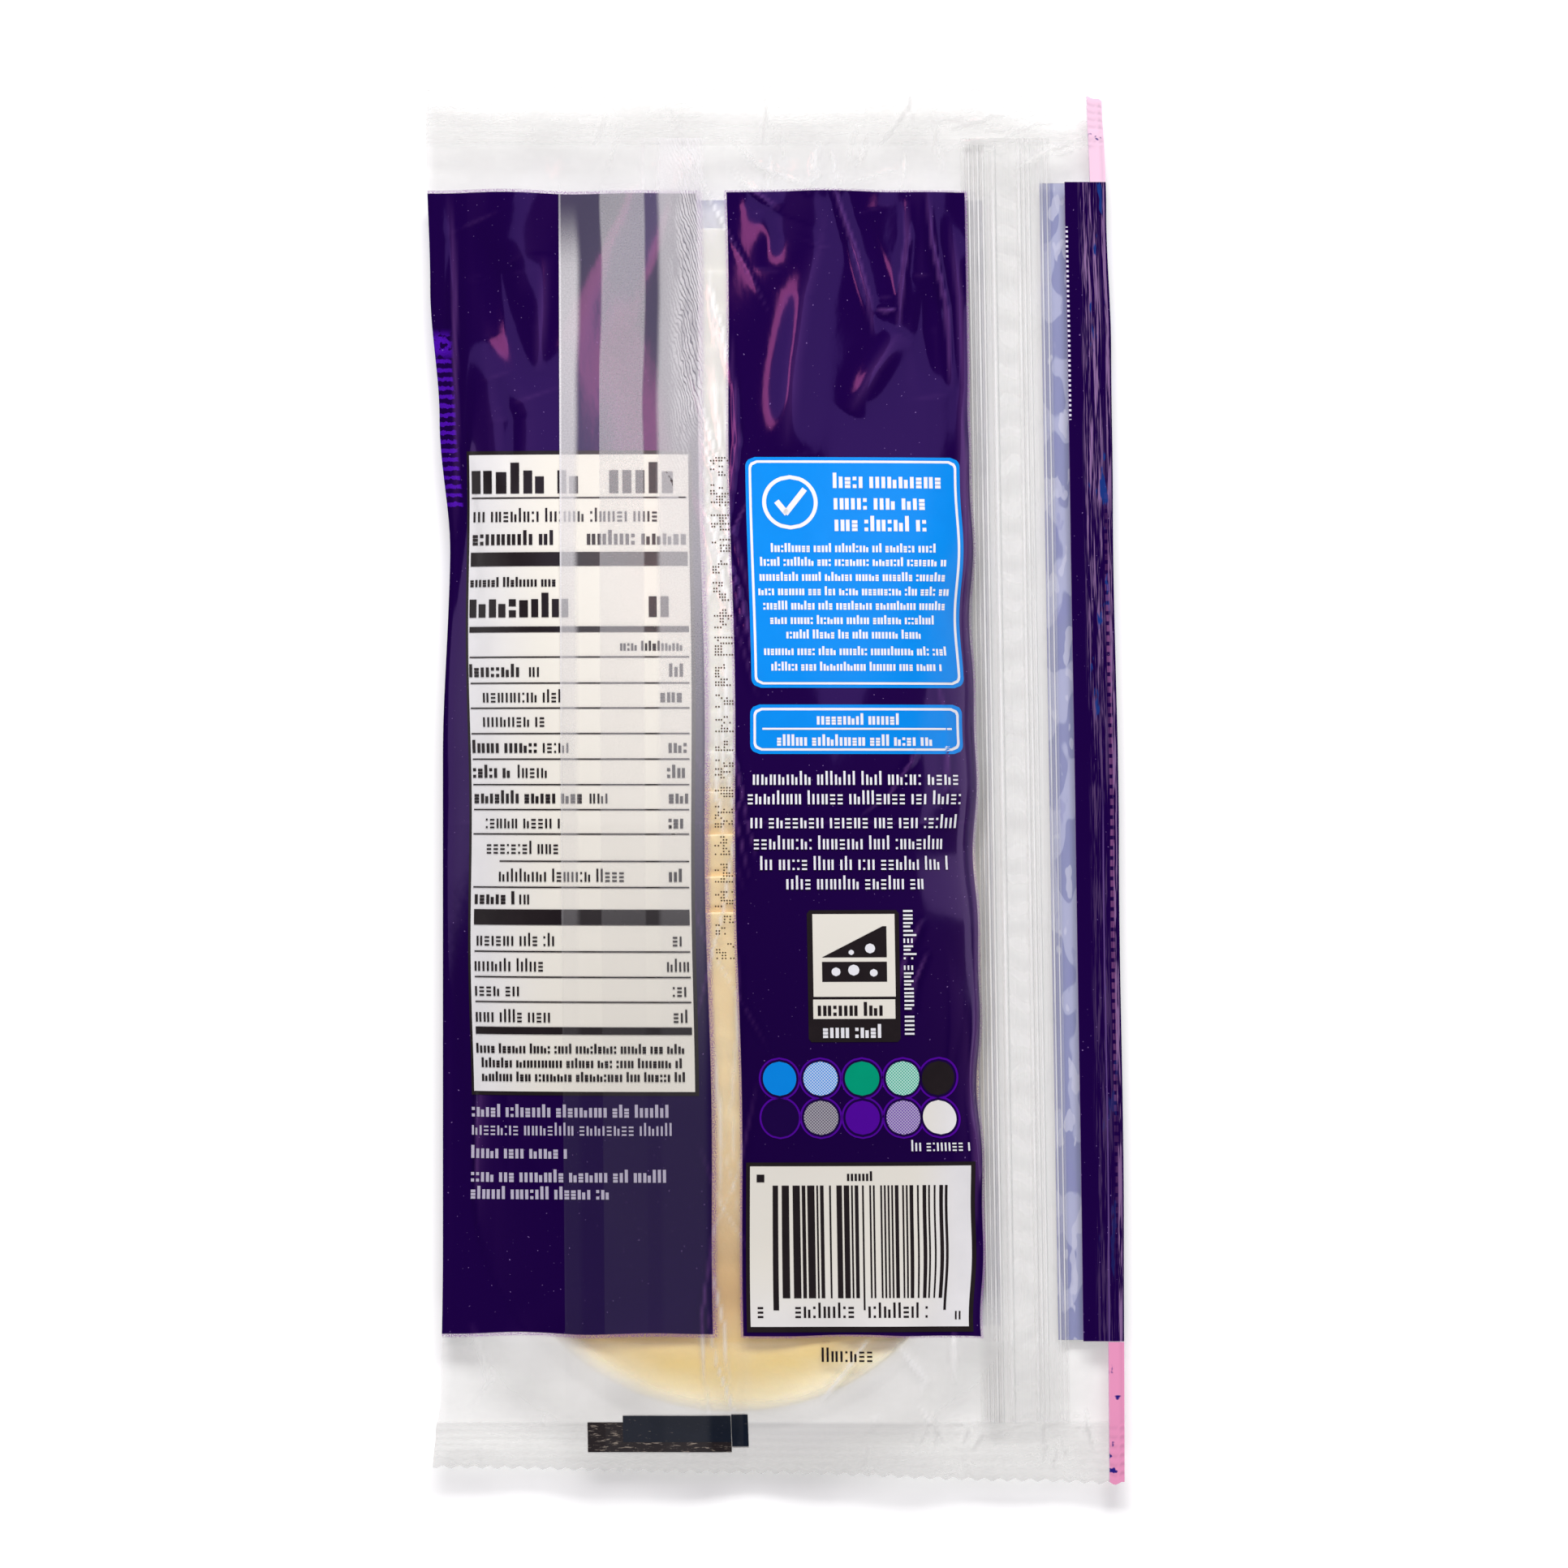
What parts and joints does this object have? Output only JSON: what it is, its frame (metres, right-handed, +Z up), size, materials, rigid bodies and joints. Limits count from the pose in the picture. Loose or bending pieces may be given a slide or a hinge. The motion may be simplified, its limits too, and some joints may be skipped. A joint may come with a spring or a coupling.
{
  "type": "pack of sliced cheese",
  "caption": "Clear film pouch of shingled round cheese slices, with purple print, crimped zigzag ends, a fin seal folded flat and a press-to-close zip down one side.",
  "frame": {"origin": "centre of the bounding box's bottom face; the pack lies on its front face with the seam side up", "axes": "+Z up from the table, +Y along the pack towards the end at the top of the picture, +X across it towards the zip"},
  "size_m": [0.1268, 0.254, 0.0224],
  "materials": {
    "film": "glossy clear film, printed deep purple over most of the seam side"
  },
  "bodies": {
    "root": {"pouch": "film"}
  },
  "joints": []
}
